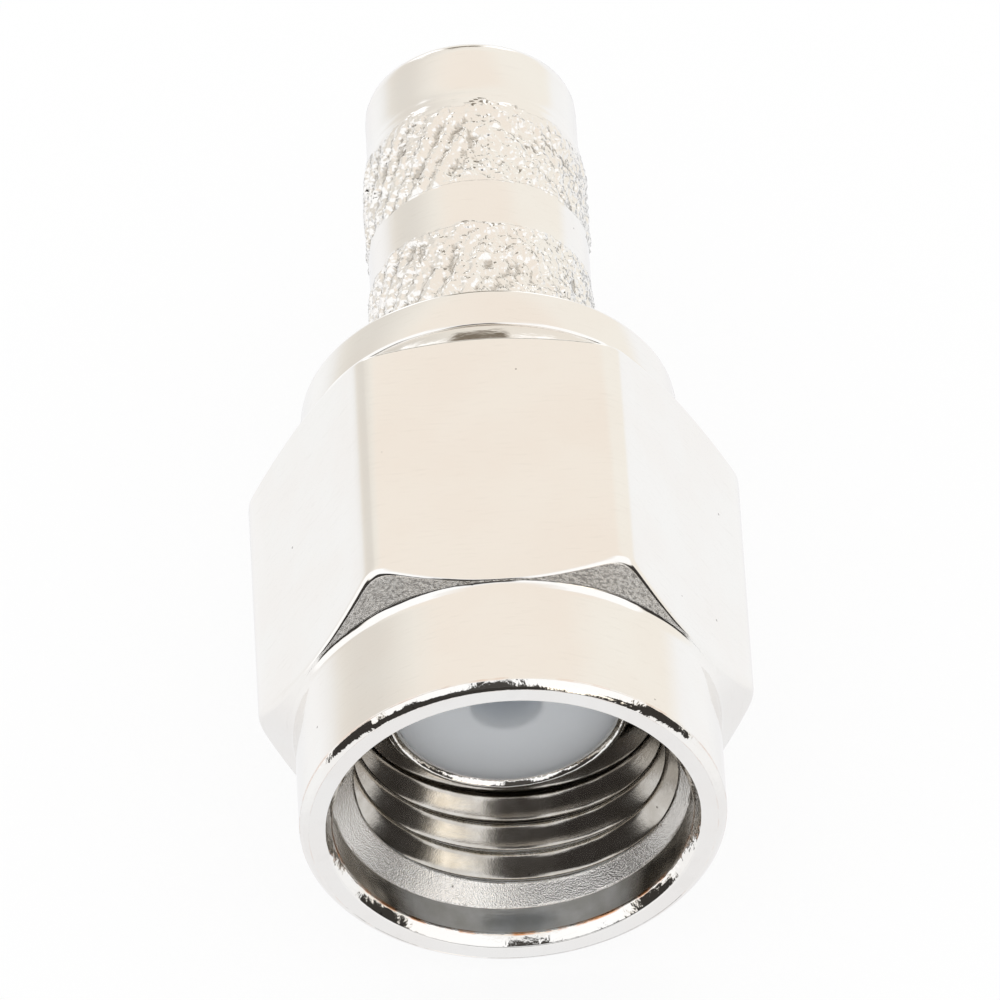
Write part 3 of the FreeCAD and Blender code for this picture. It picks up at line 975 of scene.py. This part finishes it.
def make_world():
    """A white light tent: soft boxes at both sides, the dark of the room low in front, the lens above it."""
    world = bpy.data.worlds.new("light tent")
    bpy.context.scene.world = world
    world.use_nodes = True
    tree = world.node_tree
    tree.nodes.clear()
    white = settings("colours").white
    direction = add(tree, "ShaderNodeTexCoord").outputs["Generated"]
    axes = add(tree, "ShaderNodeSeparateXYZ", {"Vector": direction})
    ahead = add(tree, "ShaderNodeMath", {"operation": "MULTIPLY", 0: axes.outputs["Y"], 1: -1.0})
    azimuth = add(tree, "ShaderNodeMath", {
        "operation": "ARCTAN2", 0: axes.outputs["X"], 1: ahead.outputs["Value"]}).outputs["Value"]
    elevation = add(tree, "ShaderNodeMath", {"operation": "ARCSINE", 0: axes.outputs["Z"]}).outputs["Value"]
    seen = white
    for name, azimuths, elevations, soft, tint, strength in TENT:
        across = between(tree, azimuth, *azimuths, soft)
        up = between(tree, elevation, *elevations, soft)
        place = add(tree, "ShaderNodeMath", {"operation": "MULTIPLY", 0: across, 1: up}).outputs["Value"]
        light = tuple(channel * strength for channel in linear(tint)[:3]) + (1.0,)
        mix = add(tree, "ShaderNodeMix", {
            "data_type": "RGBA", "label": name, "Factor": place, MIX_FIRST: seen, MIX_SECOND: light})
        seen = mix.outputs[MIX_RESULT]
    tent = add(tree, "ShaderNodeBackground", {"Color": seen})
    even = add(tree, "ShaderNodeBackground", {"Color": white})
    both = add(tree, "ShaderNodeMixShader", {
        0: mirrored(tree), 1: even.outputs["Background"], 2: tent.outputs["Background"]})
    add(tree, "ShaderNodeOutputWorld", {"Surface": both.outputs["Shader"]})


class PLUG_OT_stage(bpy.types.Operator):
    """Makes the camera, the white floor and the light tent"""
    bl_idname = "plug.stage"
    bl_label = "Stage"

    def execute(self, context):
        context.scene.view_settings.view_transform = "Standard"
        make_camera()
        make_floor()
        make_world()
        return {"FINISHED"}


# Sidebar and registration ---------------------------------

OPERATORS = [
    PLUG_OT_coupling_nut,
    PLUG_OT_plug_body,
    PLUG_OT_insulator,
    PLUG_OT_retaining_ring,
    PLUG_OT_stage,
]


class PLUG_PT_sidebar(bpy.types.Panel):
    """Lists the plug's pieces and their sizes"""
    bl_idname = "PLUG_PT_sidebar"
    bl_label = "Crimp plug"
    bl_space_type = "VIEW_3D"
    bl_region_type = "UI"
    bl_category = "Crimp plug"

    def draw(self, context):
        for operator in OPERATORS:
            self.layout.operator(operator.bl_idname)
        for kind, group in SETTINGS.items():
            box = self.layout.box()
            box.label(text=kind.capitalize())
            for name in group.__annotations__:
                box.prop(settings(kind), name)


def register():
    """Registers the sizes, the colours, the operators and the sidebar."""
    for kind, group in SETTINGS.items():
        bpy.utils.register_class(group)
        setattr(bpy.types.Scene, "crimp_plug_" + kind, bpy.props.PointerProperty(type=group))
    for operator in OPERATORS:
        bpy.utils.register_class(operator)
    bpy.utils.register_class(PLUG_PT_sidebar)


def unregister():
    """Undoes what register() did, in the opposite order."""
    bpy.utils.unregister_class(PLUG_PT_sidebar)
    for operator in reversed(OPERATORS):
        bpy.utils.unregister_class(operator)
    for kind, group in reversed(SETTINGS.items()):
        delattr(bpy.types.Scene, "crimp_plug_" + kind)
        bpy.utils.unregister_class(group)


def main():
    """Makes the plug and its stage."""
    register()
    for operator in OPERATORS:
        group, call = operator.bl_idname.split(".")
        getattr(getattr(bpy.ops, group), call)()


if __name__ == "__main__":
    main()
